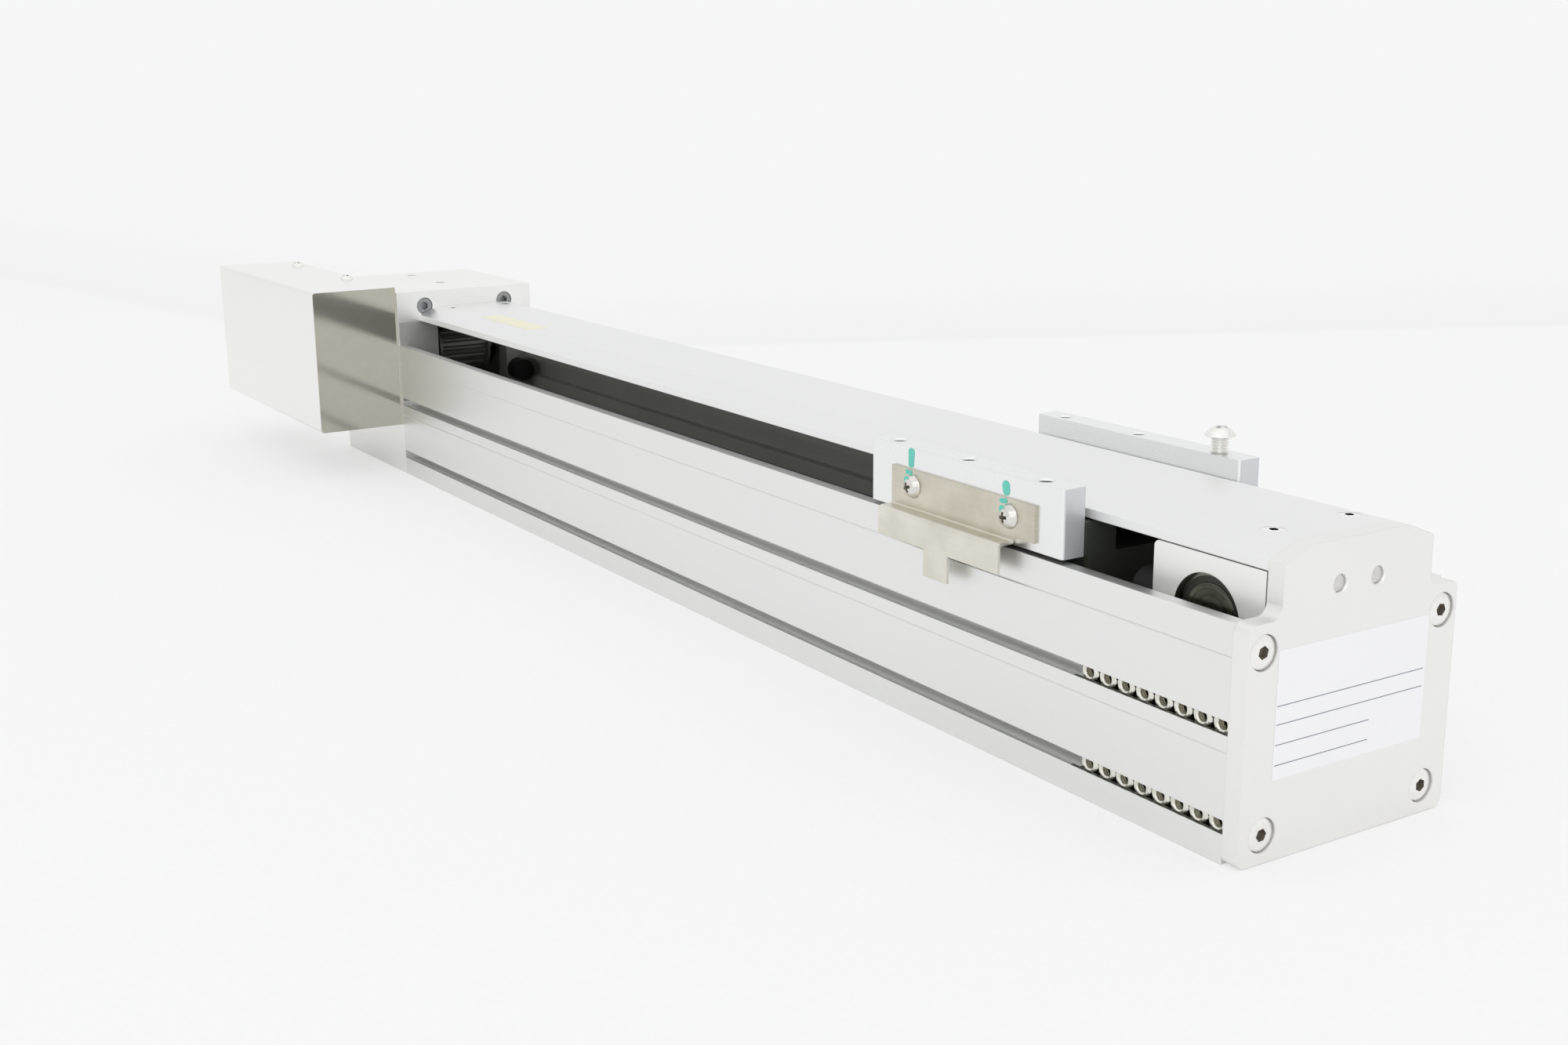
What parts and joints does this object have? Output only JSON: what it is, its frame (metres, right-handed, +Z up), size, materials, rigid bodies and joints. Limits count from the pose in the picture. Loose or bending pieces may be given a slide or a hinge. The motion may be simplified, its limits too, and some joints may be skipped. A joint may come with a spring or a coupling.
{
  "type": "belt driven linear axis",
  "caption": "Linear axis: a U-shaped extruded profile with a top cover, a toothed belt, an idler end, a drive end with a side transmission, and a carriage with load blocks on both sides.",
  "frame": {"origin": "centre of the base profile's underside", "axes": "+X along the profile from the drive end to the idler end, +Z up, -Y the transmission's side"},
  "size_m": [0.7911, 0.1305, 0.104],
  "materials": {
    "anodised_profile": "satin anodised extrusion",
    "machined_plate": "satin anodised, machined",
    "cover_sheet": "satin anodised cover",
    "load_block": "glossy anodised blocks",
    "machined_steel": "ground and turned steel",
    "screw_steel": "zinc plated",
    "dark_screw": "black oxide",
    "nut_zinc": "bright zinc plated",
    "flag_steel": "brushed stainless",
    "mirror_steel": "mirror polished stainless sheet",
    "belt_rubber": "moulded belt",
    "bumper_rubber": "moulded rubber",
    "guide_plastic": "moulded plastic",
    "bearing_seal": "rubber lined seal",
    "bare_label": "satin film",
    "pale_sticker": "satin film"
  },
  "bodies": {
    "axis_frame": {"base_profile": "anodised_profile", "top_cover": "cover_sheet", "cover_screws": "screw_steel", "idler_end_plate": "machined_plate", "idler_end_screws": "screw_steel", "idler_block": "machined_plate", "belt_tension_screws": "screw_steel", "idler_bumpers": "bumper_rubber", "idler_bearing_outer_rings": "machined_steel", "idler_bearing_balls": "machined_steel", "idler_bearing_seals": "bearing_seal", "guide_rail": "machined_steel", "rail_screws": "dark_screw", "drive_end_plate": "machined_plate", "drive_housing": "machined_plate", "drive_plate_screws": "dark_screw", "drive_housing_front_screws": "dark_screw", "drive_housing_rear_screws": "dark_screw", "drive_bumpers": "bumper_rubber", "drive_bearing_outer_rings": "machined_steel", "drive_bearing_balls": "machined_steel", "drive_bearing_seals": "bearing_seal", "drive_bearing_circlip": "dark_screw", "side_plate": "machined_plate", "side_plate_screws": "dark_screw", "transmission_cover": "mirror_steel", "transmission_cover_screws": "screw_steel", "side_belt": "belt_rubber", "main_belt": "belt_rubber", "slot_nuts_left": "nut_zinc", "slot_nuts_right": "nut_zinc", "end_label": "bare_label", "cover_sticker": "pale_sticker"},
    "carriage": {"carriage_table": "machined_plate", "side_block_left": "load_block", "side_block_right": "load_block", "side_block_screws": "dark_screw", "guide_carriage": "machined_steel", "guide_end_caps": "guide_plastic", "guide_end_seals": "bearing_seal", "guide_carriage_screws": "dark_screw", "belt_clamp_seat": "machined_plate", "belt_clamp_plate": "machined_plate", "belt_clamp_screws": "dark_screw", "sensor_flag": "flag_steel", "sensor_flag_screws": "screw_steel", "spare_screw": "screw_steel"},
    "idler_rotor": {"idler_pulley": "machined_plate", "idler_shaft": "machined_steel", "idler_bearing_inner_rings": "machined_steel"},
    "drive_rotor": {"drive_pulley": "machined_plate", "drive_shaft": "machined_steel", "drive_shaft_key": "machined_steel", "drive_bearing_inner_rings": "machined_steel", "driven_side_pulley": "machined_plate", "driven_side_pulley_set_screw": "dark_screw"},
    "motor_rotor": {"motor_pulley": "machined_plate", "motor_pulley_set_screw": "dark_screw"}
  },
  "joints": [
    {"name": "carriage_slide", "type": "slide", "parent": "axis_frame", "child": "carriage", "axis": [1, 0, 0], "range_m": [-0.433, 0.018]},
    {"name": "idler_spin", "type": "hinge", "parent": "axis_frame", "child": "idler_rotor", "pos_m": [0.2846, 0, 0.0644], "axis": [0, 1, 0], "continuous": true},
    {"name": "drive_spin", "type": "hinge", "parent": "axis_frame", "child": "drive_rotor", "pos_m": [-0.333, 0, 0.0644], "axis": [0, 1, 0], "continuous": true},
    {"name": "motor_pulley_spin", "type": "hinge", "parent": "axis_frame", "child": "motor_rotor", "pos_m": [-0.438, 0, 0.0644], "axis": [0, 1, 0], "continuous": true}
  ],
  "couplings": [
    {"joint": "idler_spin", "follows": "carriage_slide", "rad_per_m": 69.832},
    {"joint": "drive_spin", "follows": "carriage_slide", "rad_per_m": 69.832},
    {"joint": "motor_pulley_spin", "follows": "carriage_slide", "rad_per_m": 69.832}
  ]
}
